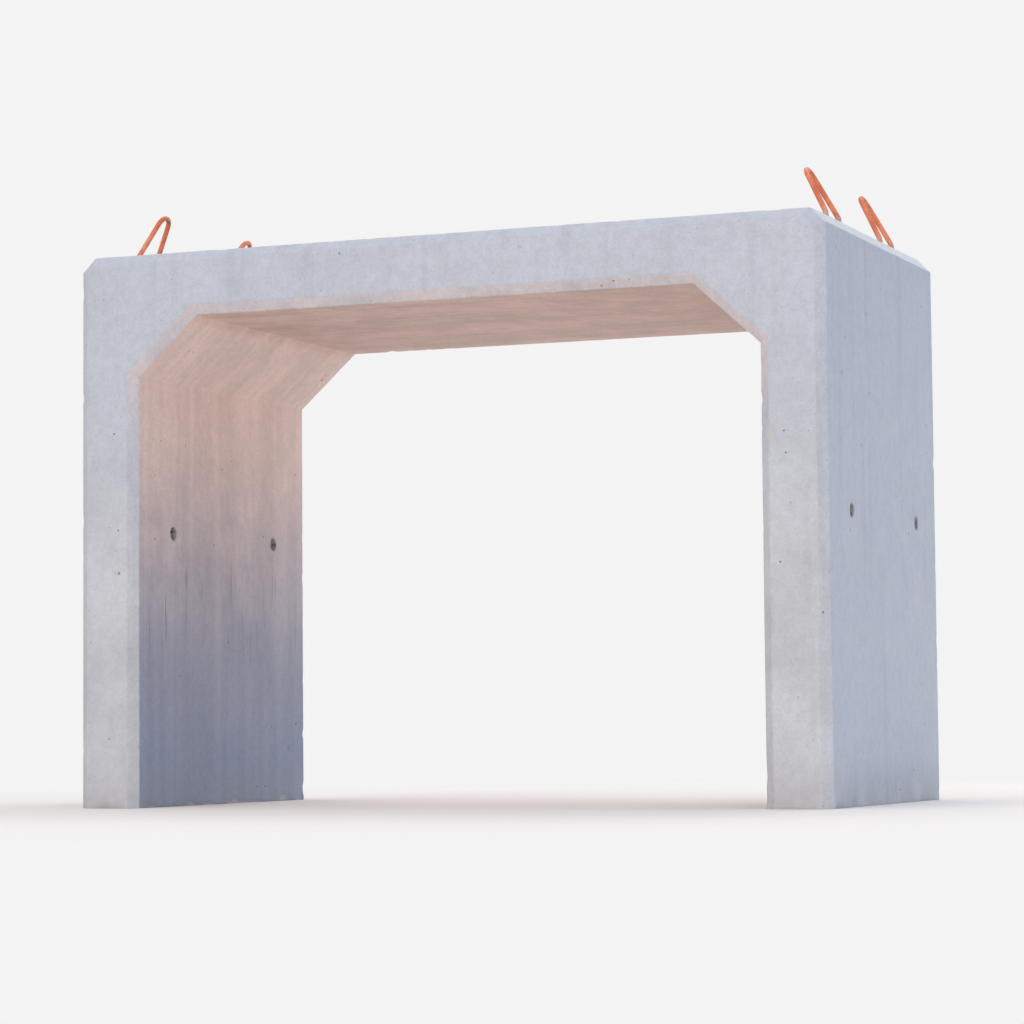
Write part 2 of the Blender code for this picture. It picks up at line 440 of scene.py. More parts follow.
# %% The frame of a patch
FIRST_SPOKE = math.radians(225.0)


def block_edge(station, row, cells):
    """Grid numbers round the edge of square blocks of cells, starting at the first corner of each."""
    steps = np.arange(cells)
    along = np.concatenate([steps, np.full(cells, cells), cells - steps, np.zeros(cells, int)])
    return grid[station[:, None] + along, (row[:, None] + np.roll(along, cells)) % grid.shape[1]]


def open_blocks(station, row, cells):
    """Mark the cells of square blocks as replaced. Gives the grid numbers round each block, and the frame of the
    patch that takes its place: its middle, two directions and the outward normal, from the four corners."""
    for first, second in np.ndindex(cells, cells):
        taken[station + first, (row + second) % grid.shape[1]] = True
    edge = block_edge(station, row, cells)
    corners = np.concatenate(shell.points)[edge[:, ::cells]]
    normal = unit(np.cross(corners[:, 2] - corners[:, 0], corners[:, 3] - corners[:, 1]))
    first = unit(corners[:, 1] - corners[:, 0] + corners[:, 2] - corners[:, 3])
    return edge, (corners.mean(axis=1), first, np.cross(normal, first), normal)


def spokes(first, second, count, start=0.0):
    """Unit vectors all round each place, from the first direction towards the second, as (places, count, 3)."""
    angle = start + np.arange(count) * 2.0 * math.pi / count
    return np.cos(angle)[:, None] * first[:, None] + np.sin(angle)[:, None] * second[:, None]


def ring(frame_of_patch, radius, height, count):
    """Points round each patch, from its first corner on: radius and height may be one number, one for each patch,
    or one for each point."""
    middle, first, second, normal = frame_of_patch
    radius, height = (np.broadcast_to(part, (len(middle), count))[..., None] for part in (radius, height))
    return middle[:, None] + radius * spokes(first, second, count, FIRST_SPOKE) + height * normal[:, None]


def step_down(place, edge, steps, count):
    """Rings of points from the edge of each block down into the casting; each step is a radius, a height and a
    tone. The first ring is stitched to the edge, each later one is joined to the one before. Gives the last."""
    before = None
    for radius, height, tone in steps:
        now = shell.add_points(ring(place, radius, height, count), tone)
        if before is None:
            shell.stitch(edge, now)
        else:
            shell.add_ring_faces(before, now)
        before = now
    return before


def row_at(y, inside):
    """Number of the row of a long face whose place along Y is y."""
    start, end = arris_rows[4:6] if inside else arris_rows[:2]
    return start + int(np.argmin(np.abs(rows[start : end + 1, 4] - y)))


print("rows that frame the front holes:", row_at(-HOLE_Y - hole_block, False), row_at(-HOLE_Y + hole_block, True))

# %% [markdown]
# The holes come first. On each face of a wall the concrete ends in a slightly crumbled rim, and a plain bore joins
# the two rims. A ring on the inner face runs the other way round, so its points are matched in reverse.

# %% Bores for the sleeves
HOLE_POINTS, HOLE_CELLS, CRUMBLED = 48, 4, 0.6
bore_radius = SLEEVE_RADIUS + CLEARANCE
stations = np.repeat([counts[1], last_station - counts[2]], 2)
rims = {}
for inside in (False, True):
    first_side = hole_block if inside else -hole_block
    starts = np.tile([row_at(y + first_side, inside) for y in (-HOLE_Y, HOLE_Y)], 2)
    edge, place = open_blocks(stations, starts, HOLE_CELLS)
    crumble = lattice_noise(ring(place, SLEEVE_RADIUS, 0.0, HOLE_POINTS), 0.009, 81 + inside)
    skin, broken = [(INSIDE if inside else OUTSIDE, wear_here, 0.0) for wear_here in (0.0, CRUMBLED)]
    steps = [
        (bore_radius + 0.0058, 0.0, skin),
        (bore_radius + 0.0008 + 0.0042 * crumble, -0.0001, broken),
        (bore_radius + 0.0001 + 0.0022 * crumble, -0.0006 - 0.0022 * crumble, broken),
        (bore_radius, -0.0060, skin),
    ]
    rims[inside] = step_down(place, edge, steps, HOLE_POINTS)
matched = (3 * HOLE_POINTS // 4 - np.arange(HOLE_POINTS)) % HOLE_POINTS
shell.add_ring_faces(rims[False], rims[True][:, matched])
print("bores:", len(stations))

# %% [markdown]
# Round each leg of a loop, wet cement paste has crept up the bar and set as a low collar. The socket behind it
# goes down as far as the bar does, so that bar and concrete never pass through each other.

# %% Sockets and collars for the loops' legs
SOCKET_POINTS, SOCKET_CELLS = 24, 2
SOCKET_DEPTH = 0.1203
leg_ys = [side * (LOOP_Y + leg * LEG_SPREAD) for side in (-1.0, 1.0) for leg in (-1.0, 1.0)]
stations = np.repeat([counts[7], last_station - counts[8]], 4)
starts = np.tile([row_at(y - leg_block, False) for y in leg_ys], 2)
edge, place = open_blocks(stations, starts, SOCKET_CELLS)
bumps = lattice_noise(ring(place, BAR_RADIUS, 0.0, SOCKET_POINTS), 0.006, 91)
socket = BAR_RADIUS + CLEARANCE
# The third tone is painted shade: a quarter of it on the paste collar and down the socket, and all of it at the
# socket's bottom.
skin, paste, shade = [(OUTSIDE, 0.0, dark) for dark in (0.0, 0.25, 1.0)]
steps = [
    (0.0135, 0.0, skin),
    (0.0112 + 0.0008 * bumps, 0.0004 + 0.0006 * bumps, skin),
    (0.0096 + 0.0006 * bumps, 0.0012 + 0.0014 * bumps, paste),
    (socket + 0.0004, 0.0018 + 0.0016 * bumps, paste),
    (socket, 0.0012, paste),
    (socket, -SOCKET_DEPTH, paste),
]
last_ring = step_down(place, edge, steps, SOCKET_POINTS)
shell.add_fan(last_ring, shell.add_points(place[0] - SOCKET_DEPTH * place[3], shade))
print("sockets:", len(stations))

# %% [markdown]
# The air holes are scattered over every formed face. Most are two to five millimetres across and a few are
# larger. They gather under the haunches and near the top of the walls, where air can't escape.

# %% Air holes
AIR_HOLES, AIR_POINTS = 330, 12
SMALLEST, LARGEST = 0.0012, 0.0048
ROOM_NEEDED = 0.0042
rng = np.random.default_rng(7)
station_size = np.linalg.norm(worn_points[1:] - worn_points[:-1], axis=-1)
row_size = np.linalg.norm(np.roll(worn_points, -1, axis=1) - worn_points, axis=-1)[:-1]
beside = np.roll(worn_points, -1, axis=1)
diagonals = beside[1:] - worn_points[:-1], beside[:-1] - worn_points[1:]
cell_area = np.linalg.norm(np.cross(*diagonals), axis=-1) / 2.0
room = cell_area / np.maximum(station_size, row_size) / 2.0
slant = np.abs(((worn_points[1:] - worn_points[:-1]) * (beside - worn_points)[:-1]).sum(axis=-1)) / station_size
upright = slant < 0.35 * np.minimum(station_size, row_size)
middles = (worn_points[1:] + worn_points[:-1] + beside[1:] + beside[:-1]) / 4.0
height = middles[..., 2]
busy = 0.35 + 0.9 * rise(height, 0.7, 1.3) + 0.8 * lattice_noise(middles, 0.3, 101) ** 2
busy *= np.where(zone == INSIDE, 1.6, 1.0)
top = (zone == OUTSIDE) & (height > HEIGHT - 0.02)
busy = np.where(top, 0.05, busy)
unfit = taken | (room < ROOM_NEEDED) | (wear[:-1] > 0.02) | (height < 0.02) | ~upright
busy = np.where(unfit, 0.0, busy * cell_area)
picked = rng.choice(busy.size, AIR_HOLES, replace=False, p=(busy / busy.sum()).ravel())
stations, starts = np.divmod(picked, busy.shape[1])
edge, (middle, first, second, normal) = open_blocks(stations, starts, 1)
size = np.clip(0.0011 + 0.0011 * rng.gamma(1.6, 0.9, AIR_HOLES), SMALLEST, LARGEST)
size = np.minimum(size, 0.74 * room[stations, starts])[:, None]
spare = row_size[stations, starts] / 2.0 - 1.3 * size[:, 0]
slide = unit((beside[1:] + beside[:-1] - worn_points[1:] - worn_points[:-1])[stations, starts])
middle = middle + slide * (rng.uniform(-0.8, 0.8, AIR_HOLES) * np.maximum(spare, 0.0))[:, None]
ragged = 1.0 + 0.22 * (rng.random((AIR_HOLES, AIR_POINTS)) - 0.5)
depth = size * rng.uniform(0.7, 1.4, (AIR_HOLES, 1))
# The third tone is painted shade: none on the rim, about a third on the wall and all of it at the bottom of each
# air hole.
rim, wall, pit = [np.stack(np.broadcast_arrays(zone[starts], 0.0, dark), axis=-1) for dark in (0.0, 0.35, 1.0)]
steps = [
    (1.14 * size, 0.0, rim[:, None]),
    (ragged * size, -0.08 * depth, wall[:, None]),
    (0.74 * ragged * size, -0.65 * depth, pit[:, None]),
]
last_ring = step_down((middle, first, second, normal), edge, steps, AIR_POINTS)
shell.add_fan(last_ring, shell.add_points(middle - depth * normal, pit))
print("air holes:", AIR_HOLES, "from", round(2000 * size.min(), 1), "to", round(2000 * size.max(), 1), "mm across")

# %% [markdown]
# The grid's own cells fill what the patches leave, and the two feet are closed flat: strips across each foot, and
# one flat face in each of its four chamfered ends.

# %% Close the casting
shell.quads.append(block_edge(*np.nonzero(~taken), 1))
across = np.arange(arris_rows[1])
partner = arris_rows[5] - across
foot = np.stack([across, across + 1, partner - 1, partner], axis=-1)
shell.quads += [grid[0][foot], grid[-1][foot[:, ::-1]]]
back_end = np.arange(arris_rows[1], arris_rows[4] + 1)
front_end = np.append(np.arange(arris_rows[5], len(rows)), 0)
for end in (back_end, front_end):
    shell.others += [grid[0][end].tolist(), grid[-1][end[::-1]].tolist()]
casting = shell.make("culvert_casting")
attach(casting, "root")
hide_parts("culvert_body")
casting.data.calc_loop_triangles()
print("triangles in the casting:", len(casting.data.loop_triangles))

# %% [markdown]
# ## The lifting loops
#
# Each loop is one round bar, bent into a narrow hairpin, cast in upright and then pulled over towards the middle
# of the slab. A curve with a bevel would give a tube, but the bar's surface matters here: it is a little uneven,
# and the hook has flattened it under the crown. So a circle is carried along the hairpin's centre line, which is
# worked out flat first: two straight legs that lean together, with a bend at each foot and a round crown. The flat
# hairpin is then rolled over a bend of its own, just above the slab.

# %% Centre line of a loop
LOOP_LENGTH, EMBEDMENT, LEAN = 0.175, 0.120, math.radians(28.0)
FOOT_BEND, FOOT_HEIGHT, CROWN_BEND = 0.048, 0.004, 0.032


def loop_splay():
    """How far a leg leans towards its partner: the line that touches both the foot bend and the crown bend."""
    across, up = LEG_SPREAD - FOOT_BEND, LOOP_LENGTH - CROWN_BEND - FOOT_HEIGHT
    return math.atan2(across, up) + math.asin((FOOT_BEND - CROWN_BEND) / math.hypot(across, up))


def flat_hairpin():
    """Places along Y and heights of the flat hairpin: up the near leg, round the crown and down the far leg."""
    splay = loop_splay()
    crown_start = LOOP_LENGTH - CROWN_BEND * (1.0 - math.sin(splay))
    height = np.concatenate([[-EMBEDMENT, -0.04, -0.01], np.linspace(0.0, crown_start, 62)[:-1]])
    bent = np.clip(height - FOOT_HEIGHT, 0.0, FOOT_BEND * math.sin(splay))
    turned = np.arcsin(bent / FOOT_BEND)
    straight = np.maximum(height - FOOT_HEIGHT, 0.0) - bent
    along = -LEG_SPREAD + FOOT_BEND * (1.0 - np.cos(turned)) + straight * math.tan(splay)
    angle = np.linspace(splay, math.pi - splay, 34)
    crown_y = -CROWN_BEND * np.cos(angle)
    crown_z = LOOP_LENGTH - CROWN_BEND + CROWN_BEND * np.sin(angle)
    return np.concatenate([along, crown_y, -along[::-1]]), np.concatenate([height, crown_z, height[::-1]])


def rolled_over(height):
    """How far inwards and how far up a height of the flat hairpin comes to lie, and the lean there."""
    bent = np.clip(height - FOOT_HEIGHT, 0.0, FOOT_BEND * LEAN)
    angle = bent / FOOT_BEND
    straight = height - FOOT_HEIGHT - bent
    inwards = FOOT_BEND * (1.0 - np.cos(angle)) + straight * np.sin(angle)
    upwards = FOOT_HEIGHT + FOOT_BEND * np.sin(angle) + straight * np.cos(angle)
    return inwards, upwards, angle


hairpin_y, hairpin_z = flat_hairpin()
print("stations along a loop:", len(hairpin_y), "splay", round(math.degrees(loop_splay()), 1), "degrees")


# %% A loop's bar
BAR_POINTS = 28


def painted_loop(name, side, end, seed):
    """A circle carried along the centre line, square to it. It loses up to a quarter of a millimetre to noise, and
    more under the crown, where the hook has pulled."""
    inwards, upwards, lean = rolled_over(hairpin_z)
    centre = np.empty((len(hairpin_y), 3))
    centre[:, 0] = side * (LEG_X - inwards)
    centre[:, 1] = end * LOOP_Y + hairpin_y
    centre[:, 2] = HEIGHT + upwards
    facing = np.stack([-side * np.cos(lean), 0.0 * lean, -np.sin(lean)], axis=1)
    spoke = spokes(facing, np.cross(unit(np.gradient(centre, axis=0)), facing), BAR_POINTS)
    points = centre[:, None] + BAR_RADIUS * spoke
    crown = rise(hairpin_z, LOOP_LENGTH - 0.030, LOOP_LENGTH - 0.006)[:, None]
    hooked = crown * rise(-spoke[..., 2], 0.55, 0.95)
    dents = lattice_noise(points, 0.006, seed)
    thinner = 0.00010 * lattice_noise(points, 0.02, seed + 1) + 0.00015 * dents + 0.0007 * hooked
    points -= thinner[..., None] * spoke
    points[[0, -1]] = (centre[:, None] + 0.8 * BAR_RADIUS * spoke)[[0, -1]]
    height = np.clip(upwards / LOOP_LENGTH, 0.0, 1.0)[:, None] + 0.0 * hooked
    bar = Shell()
    numbers = bar.add_points(points, np.stack([height, hooked, 0.0 * hooked], axis=-1))
    bar.add_ring_faces(numbers[:-1], numbers[1:])
    tips = bar.add_points(centre[[0, -1]], (0.0, 0.0, 0.0))
    bar.add_fan(numbers[:1, ::-1], tips[:1])
    bar.add_fan(numbers[-1:], tips[1:])
    return bar.make(name)


SIDES, ENDS = {"left": -1.0, "right": 1.0}, {"front": -1.0, "back": 1.0}
loops = []
for number, (end_name, end) in enumerate(ENDS.items()):
    for side_name, side in SIDES.items():
        loop = painted_loop(f"painted_loop_{end_name}_{side_name}", side, end, 200 + 10 * number + int(side))
        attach(loop, "root")
        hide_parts(f"lifting_loop_{end_name}_{side_name}")
        loops.append(loop)
print("loops:", len(loops))

# %% [markdown]
# ## The sleeves in the handling holes
#
# Each handling hole is lined by a short length of plastic tube, which was held between the two faces of the form.
# Its section is a long thin stadium, so the rims come out round. That section is carried round the hole, a little
# out of round, as soft plastic is once concrete has pressed on it.

# %% Sleeves
SLEEVE_POINTS = 72
SLEEVE_RECESS = 0.002
RIM_UNEVENNESS = 0.0006


def plastic_sleeve(name, side, end, seed):
    """A stadium of the tube's wall and length, carried round the hole's axis."""
    edge = SLEEVE_WALL / 2.0
    reach = WALL / 2.0 - SLEEVE_RECESS - edge
    middle = SLEEVE_RADIUS - edge
    turn = np.linspace(math.pi / 2.0, -math.pi / 2.0, 7)
    run = np.linspace(1.0, -1.0, 9)[1:-1] * reach
    right_x, right_r = reach + edge * np.cos(turn), middle + edge * np.sin(turn)
    section_x = np.concatenate([right_x, run, -right_x[::-1], run[::-1]])
    flat = np.full(len(run), edge)
    section_r = np.concatenate([right_r, middle - flat, right_r[::-1], middle + flat])
    angle = np.arange(SLEEVE_POINTS) * 2.0 * math.pi / SLEEVE_POINTS
    points = np.empty((len(section_x), SLEEVE_POINTS, 3))
    squeeze = 1.0 - 0.006 * (1.0 + np.cos(2.0 * (angle + seed)))
    radius = section_r[:, None] * squeeze
    points[..., 0] = side * (half - WALL / 2.0) + section_x[:, None]
    points[..., 1] = end * HOLE_Y + radius * np.cos(angle)
    points[..., 2] = HOLE_Z + radius * np.sin(angle)
    rims_only = (np.sign(section_x) * (np.abs(section_x) > reach))[:, None]
    points[..., 0] -= rims_only * RIM_UNEVENNESS * lattice_noise(points, 0.012, seed)
    tube = Shell()
    numbers = tube.add_points(points, (0.0, 0.0, 0.0))
    tube.add_ring_faces(numbers, np.roll(numbers, -1, axis=0))
    return tube.make(name)


sleeves = []
for number, (end_name, end) in enumerate(ENDS.items()):
    for side_name, side in SIDES.items():
        sleeve = plastic_sleeve(f"plastic_sleeve_{end_name}_{side_name}", side, end, 300 + 10 * number + int(side))
        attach(sleeve, "root")
        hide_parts(f"wall_sleeve_{end_name}_{side_name}")
        sleeves.append(sleeve)
print("sleeves:", len(sleeves))

# %% [markdown]
# ## How the finishes are built
#
# A finish is a small network of nodes. The helpers below keep each one short: they add a node, set its fields, and
# wire its inputs in one go. Patterns read Object coordinates, which are metres in the unit's own frame, and the
# "tone" colour that each mesh carries: for the casting it holds the side of the section, the wear, and the painted
# shade of the air holes and sockets. The sky is made with the same helper.


# %% Helpers for networks and finishes
class Network:
    """A tree whose nodes are added by kind; an input is a socket to wire or a plain value to set."""

    def __init__(self, tree):
        self.tree = tree

    def wire(self, socket, value):
        """Wire a socket, or set its value."""
        if isinstance(value, bpy.types.NodeSocket):
            self.tree.links.new(value, socket)
        else:
            socket.default_value = value

    def add(self, kind, inputs=None, **fields):
        """One node, with its fields set and its inputs wired."""
        node = self.tree.nodes.new(kind)
        for field, value in fields.items():
            setattr(node, field, value)
        for key, value in (inputs or {}).items():
            self.wire(node.inputs[key], value)
        return node

    def sum(self, first, *others):
        """The sum of several values."""
        for other in others:
            first = self.add("ShaderNodeMath", {0: first, 1: other}, operation="ADD").outputs[0]
        return first

    def times(self, first, *others):
        """The product of several values."""
        for other in others:
            first = self.add("ShaderNodeMath", {0: first, 1: other}, operation="MULTIPLY").outputs[0]
        return first

    def seen(self):
        """1 for rays from the camera, also by way of something glossy or clear, and 0 for all others."""
        rays = self.add("ShaderNodeLightPath").outputs
        return self.sum(rays["Is Camera Ray"], rays["Is Glossy Ray"], rays["Is Transmission Ray"])


class Finish(Network):
    """The network of a material, with the object's coordinates and its tones at hand."""

    def __init__(self, name):
        self.material = bpy.data.materials.new(name)
        self.material.use_nodes = True
        super().__init__(self.material.node_tree)
        self.shader = self.tree.nodes["Principled BSDF"]
        self.place = self.add("ShaderNodeTexCoord").outputs["Object"]
        tone = self.add("ShaderNodeVertexColor", layer_name="tone").outputs["Color"]
        self.tone = self.add("ShaderNodeSeparateColor", {0: tone}).outputs
        self.axes = self.add("ShaderNodeSeparateXYZ", {0: self.place}).outputs

    def noise(self, scale, detail=2.0, rough=0.5, distortion=0.0):
        """Smooth noise from 0 to 1, with this many features in a metre, on every axis or one number for each."""
        at = self.place
        if isinstance(scale, tuple):
            at, scale = self.add("ShaderNodeMapping", {"Vector": at, "Scale": scale}).outputs[0], 1.0
        inputs = {"Vector": at, "Scale": scale, "Detail": detail, "Roughness": rough, "Distortion": distortion}
        return self.add("ShaderNodeTexNoise", inputs).outputs[0]

    def ramp(self, value, low, high, start=0.0, end=1.0):
        """From start at low to end at high, in a smooth S; low may be above high."""
        inputs = {0: value, 1: low, 2: high, 3: start, 4: end}
        return self.add("ShaderNodeMapRange", inputs, interpolation_type="SMOOTHSTEP").outputs[0]

    def absolute(self, value):
        """The value without its sign."""
        return self.add("ShaderNodeMath", {0: value}, operation="ABSOLUTE").outputs[0]

    def folded(self, value, middle):
        """Distance of a coordinate from a value or its opposite, whichever is nearer."""
        return self.absolute(self.sum(self.absolute(value), -middle))

    def length(self, vector):
        """The length of a vector."""
        return self.add("ShaderNodeVectorMath", {0: vector}, operation="LENGTH").outputs["Value"]

    def mix(self, share, first, second, blend="MIX"):
        """Colours mixed by a share; colours are sockets or three linear numbers."""
        colours = [c if isinstance(c, bpy.types.NodeSocket) else (*c, 1.0) for c in (first, second)]
        inputs = {0: share, 6: colours[0], 7: colours[1]}
        return self.add("ShaderNodeMix", inputs, data_type="RGBA", blend_type=blend).outputs[2]

    def cover(self, colour, share, strength, tint):
        """The colour, covered by a tint where the share is high, up to this strength."""
        return self.mix(self.times(share, strength), colour, tint)

    def shade(self, colour, value, low, high):
        """The colour times a grey that runs from low to high as the value runs from 0 to 1."""
        grey = self.add("ShaderNodeMapRange", {0: value, 3: low, 4: high}).outputs[0]
        rgb = self.add("ShaderNodeCombineColor", {0: grey, 1: grey, 2: grey}).outputs[0]
        return self.mix(1.0, colour, rgb, "MULTIPLY")

    def done(self, colour, roughness, height, *pieces):
        """Wire colour, roughness and a height in millimetres, and give the finish to the pieces."""
        bump = self.add("ShaderNodeBump", {"Strength": 1.0, "Distance": 0.001, "Height": height})
        self.wire(self.shader.inputs["Base Color"], colour)
        self.wire(self.shader.inputs["Roughness"], roughness)
        self.wire(self.shader.inputs["Normal"], bump.outputs[0])
        for piece in pieces:
            piece.data.materials.clear()
            piece.data.materials.append(self.material)


print("finishes can be made")

# %% [markdown]
# ## Form-finished concrete
#
# Concrete struck from a steel form is pale and nearly smooth. Its colour drifts in large soft clouds, with finer
# mottling and sand grain over them, and faint bands where one plate of the form ended and the next began. Rain
# has drawn thin streaks down the walls. Light and shade are painted into the colour too: higher up it is cooler, as
# sky light, the long sides are darker and bluer than the end faces, as shade, the shoulders carry a paler painted
# highlight, and painted warm bounce light comes and goes on the arris round the top of the opening. Inside the
# unit, the soffit, the haunches and the upper walls are painted a warm tan, as light thrown up from the ground, and
# the lower walls a darker bluish grey, as shade and bluish reflected light, with short dark drips between. Flaked
# arrises show fresh, sandy concrete, and the air holes are painted dark, as shade in the hollows.

# %% Concrete
concrete = Finish("form_finished_concrete")
x, y, z = concrete.axes
side_of_section, flaked, painted_shade_in_hollows = concrete.tone[:3]
inside = concrete.ramp(side_of_section, 0.88, 0.98)
outside = concrete.ramp(side_of_section, 0.12, 0.02)
clouds = concrete.noise(1.9, 4.0, 0.55)
drift = concrete.noise(7.5, 4.0, 0.6)
mottle = concrete.noise(38.0, 4.0, 0.6)
grain = concrete.noise(420.0, 2.0, 0.6)

colour = concrete.mix(concrete.ramp(clouds, 0.36, 0.62), (0.505, 0.503, 0.525), (0.570, 0.567, 0.588))
# Painted light: higher up the colour turns cooler and bluer, as light from the sky.
painted_skylight_high_up = concrete.ramp(concrete.sum(z, concrete.times(clouds, 0.4)), 0.85, 1.55)
colour = concrete.cover(colour, painted_skylight_high_up, 0.8, (0.505, 0.522, 0.580))
painted_highlight_shoulder = concrete.times(outside, concrete.ramp(z, HEIGHT - SHOULDER - 0.003, HEIGHT - SHOULDER + 0.004))
painted_shade_side_face = concrete.sum(outside, concrete.times(painted_highlight_shoulder, -1.0))
# Painted shade: the long sides are made darker and bluer than the end faces, as the open sky's cooler light on
# them.
colour = concrete.cover(colour, painted_shade_side_face, 0.75, (0.452, 0.495, 0.572))
# Painted highlight: the shoulder chamfers are made paler, as light from above falling on them.
colour = concrete.cover(colour, painted_highlight_shoulder, 0.9, (0.720, 0.712, 0.705))
# Painted bounce light: a warm, paler tint on the arris round the top of the opening, as light thrown up from the
# ground.
painted_bounce_inner_arris = concrete.times(
    concrete.ramp(side_of_section, 0.52, 0.60),
    concrete.ramp(side_of_section, 0.98, 0.88),
    concrete.ramp(z, springing - 0.25, springing + 0.02),
    concrete.ramp(drift, 0.30, 0.60, 0.40, 0.78),
)
colour = concrete.mix(painted_bounce_inner_arris, colour, (0.680, 0.590, 0.580))
print("base colours are mixed")

# %% [markdown]
# The painted warm bounce light inside follows the height, with a ragged lower limit, and the painted shade below it
# gets darker and bluer towards the floor. Bands across the inner faces are noise that only reads the place along
# the culvert, because each plate of the form ran right round the opening.

# %% Painted bounce light and shade inside the opening
# Painted bounce light: the soffit, the haunches and the upper walls are made a warm tan, as light thrown up from
# the ground.
edge_of_painted_bounce = concrete.sum(z, concrete.times(concrete.sum(drift, -0.5), 0.38))
painted_warm_bounce = concrete.times(inside, concrete.ramp(edge_of_painted_bounce, 0.48, 1.25))
# Painted shade: the inner faces are made darker and bluish, darker and bluer still near the floor, as shade with
# bluish reflected light.
painted_shade_colour = concrete.mix(concrete.ramp(clouds, 0.35, 0.65), (0.285, 0.290, 0.360), (0.360, 0.355, 0.415))
painted_shade_colour = concrete.mix(concrete.ramp(z, 0.70, 0.05), painted_shade_colour, (0.212, 0.260, 0.368))
painted_bounce_colour = concrete.mix(concrete.ramp(drift, 0.35, 0.65), (0.620, 0.440, 0.370), (0.695, 0.515, 0.440))
# Painted light: the haunches and walls under the soffit are made paler than the soffit, as they catch more light.
painted_light_below_soffit = concrete.ramp(z, soffit - 0.002, soffit - 0.03)
painted_bounce_colour = concrete.cover(painted_bounce_colour, painted_light_below_soffit, 0.7, (0.745, 0.600, 0.540))
colour = concrete.cover(colour, inside, 0.92, painted_shade_colour)
colour = concrete.cover(colour, painted_warm_bounce, 0.94, painted_bounce_colour)
bands = concrete.noise((0.35, 9.0, 0.35), 2.0, 0.7)
banded = concrete.shade(colour, concrete.ramp(bands, 0.40, 0.58), 0.94, 1.03)
colour = concrete.mix(inside, colour, banded)
print("stains are mixed")

# %% [markdown]
# Streaks and drips are noise squeezed sideways: many features across the wall and few up it. The finest speckle is
# sand, and the small dark dots are pinholes too fine to model, made dark as painted shade inside them.

# %% Streaks, pinholes, flakes and dirt
streaks = concrete.noise((17.0, 17.0, 0.8), 4.0, 0.65)
colour = concrete.shade(colour, concrete.ramp(streaks, 0.52, 0.72), 1.0, 0.925)
drips = concrete.noise((46.0, 46.0, 3.2), 2.0, 0.6)
drip_band = concrete.times(concrete.ramp(z, 0.34, 0.58), concrete.ramp(z, 0.84, 0.68))
colour = concrete.shade(colour, concrete.times(inside, drip_band, concrete.ramp(drips, 0.60, 0.70)), 1.0, 0.62)
speckle = concrete.noise(120.0, 3.0, 0.7)
for pattern, low, high in ((drift, 0.965, 1.025), (mottle, 0.955, 1.035), (speckle, 0.945, 1.045)):
    colour = concrete.shade(colour, concrete.ramp(pattern, 0.3, 0.7), low, high)
colour = concrete.shade(colour, grain, 0.93, 1.07)

cells = concrete.add("ShaderNodeTexVoronoi", {"Vector": concrete.place, "Scale": 46.0})
chosen = concrete.add("ShaderNodeSeparateColor", {0: cells.outputs["Color"]}).outputs[0]
chosen = concrete.ramp(concrete.sum(chosen, concrete.times(drift, 0.35)), 0.93, 0.97)
pinholes = concrete.times(concrete.ramp(cells.outputs["Distance"], 0.10, 0.06), chosen)
# Painted shade: the pinholes are darkened, as the shade inside them.
colour = concrete.cover(colour, pinholes, 0.60, (0.16, 0.15, 0.145))

fresh = concrete.shade(concrete.mix(mottle, (0.50, 0.475, 0.45), (0.70, 0.68, 0.65)), grain, 0.75, 1.2)
colour = concrete.cover(colour, flaked, 0.75, fresh)
# Painted shade: the air holes and the sockets darken towards their bottoms, as shade inside the hollows.
colour = concrete.cover(colour, painted_shade_in_hollows, 0.72, (0.115, 0.108, 0.102))
dirt = concrete.times(concrete.ramp(z, 0.16, 0.0), concrete.ramp(drift, 0.35, 0.6))
colour = concrete.cover(colour, dirt, 0.30, (0.30, 0.265, 0.235))
print("wear and dirt are mixed")

# %% [markdown]
# The top of the slab never touched a form. It was floated by hand, so it is rougher and greyer, with the float's
# sweeps. A little rust has washed out round the feet of the loops.

# %% The floated top, and the relief
off_shoulder = concrete.ramp(concrete.absolute(x), half - SHOULDER + 0.004, half - SHOULDER - 0.006)
on_top = concrete.times(outside, concrete.ramp(z, HEIGHT - 0.012, HEIGHT - 0.004), off_shoulder)
sweeps = concrete.noise((5.0, 34.0, 5.0), 3.0, 0.6, distortion=1.6)
floated = concrete.shade(concrete.mix(clouds, (0.43, 0.42, 0.41), (0.60, 0.585, 0.57)), sweeps, 0.86, 1.10)
colour = concrete.cover(colour, on_top, 0.8, floated)
from_leg = {0: concrete.folded(x, LEG_X), 1: concrete.folded(concrete.folded(y, LOOP_Y), LEG_SPREAD)}
from_leg = concrete.length(concrete.add("ShaderNodeCombineXYZ", from_leg).outputs[0])
rust = concrete.times(on_top, concrete.ramp(from_leg, 0.050, 0.009), concrete.ramp(mottle, 0.35, 0.65))
colour = concrete.cover(colour, rust, 0.6, (0.33, 0.16, 0.075))

height = concrete.sum(
    concrete.times(grain, 0.12),
    concrete.times(mottle, 0.30),
    concrete.times(speckle, 0.16),
    concrete.times(pinholes, -0.9),
    concrete.times(flaked, concrete.noise(130.0, 3.0, 0.7), 1.3),
    concrete.times(on_top, sweeps, 0.8),
)
roughness = concrete.sum(concrete.ramp(drift, 0.3, 0.7, 0.66, 0.84), concrete.times(flaked, 0.12))
concrete.done(colour, roughness, height, casting)
print("concrete nodes:", len(concrete.tree.nodes))

# %% [markdown]
# ## Orange paint on the bars
#
# The loops are painted orange, so that they are found easily. The paint has faded unevenly, has flaked in small
# spots that have rusted, and is rubbed down to dark steel where the hook pulls. Cement has splashed on the feet.

